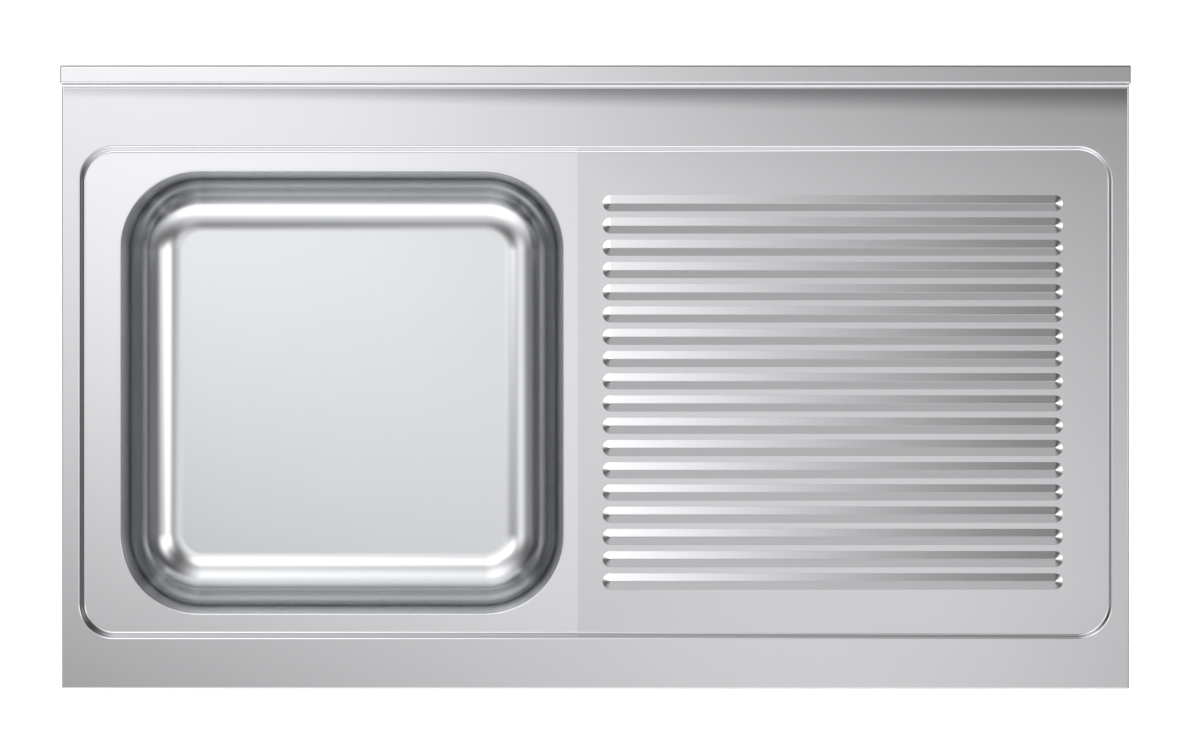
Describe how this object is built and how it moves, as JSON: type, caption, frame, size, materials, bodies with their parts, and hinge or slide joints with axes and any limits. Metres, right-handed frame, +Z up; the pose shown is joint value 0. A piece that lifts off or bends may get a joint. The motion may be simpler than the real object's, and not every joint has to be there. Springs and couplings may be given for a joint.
{
  "type": "kitchen sink with drainboard",
  "caption": "Stainless steel lay-on sink top with a deep square bowl on the left, a ribbed drainer falling to it on the right and a rear upstand.",
  "frame": {"origin": "centre of the plan, on the plane of the aprons' return flanges, which lie on the cabinet", "axes": "+X to the right along the length, +Y to the wall, +Z up"},
  "size_m": [1.2, 0.7, 0.3627],
  "materials": {
    "satin_stainless": "satin ground austenitic stainless steel sheet",
    "galvanised_steel": "hot-dip galvanised steel, dull spangle",
    "zinc_fastener": "bright zinc-plated steel",
    "bitumen_pad": "matt black bitumen sound-deadening sheet"
  },
  "bodies": {
    "root": {"bowl": "satin_stainless", "bowl_floor_pad": "bitumen_pad", "bowl_wall_pad_front": "bitumen_pad", "bowl_wall_pad_left": "bitumen_pad", "bowl_wall_pad_rear": "bitumen_pad", "bowl_wall_pad_right": "bitumen_pad", "bracket_front_left": "galvanised_steel", "bracket_front_right": "galvanised_steel", "bracket_nuts": "zinc_fastener", "bracket_rear_left": "galvanised_steel", "bracket_rear_right": "galvanised_steel", "bracket_studs": "zinc_fastener", "bracket_washers": "zinc_fastener", "drainer_channel_1": "galvanised_steel", "drainer_channel_2": "galvanised_steel", "drainer_channel_3": "galvanised_steel", "drainer_channel_4": "galvanised_steel", "drainer_pad_1": "bitumen_pad", "drainer_pad_2": "bitumen_pad", "drainer_pad_3": "bitumen_pad", "earth_bolt": "zinc_fastener", "earth_nut": "zinc_fastener", "earth_tab": "galvanised_steel", "earth_washers": "zinc_fastener", "end_cap_left": "satin_stainless", "end_cap_right": "satin_stainless", "front_rail": "galvanised_steel", "rear_rail": "galvanised_steel", "upstand": "satin_stainless", "worktop_sheet": "satin_stainless"}
  },
  "joints": []
}
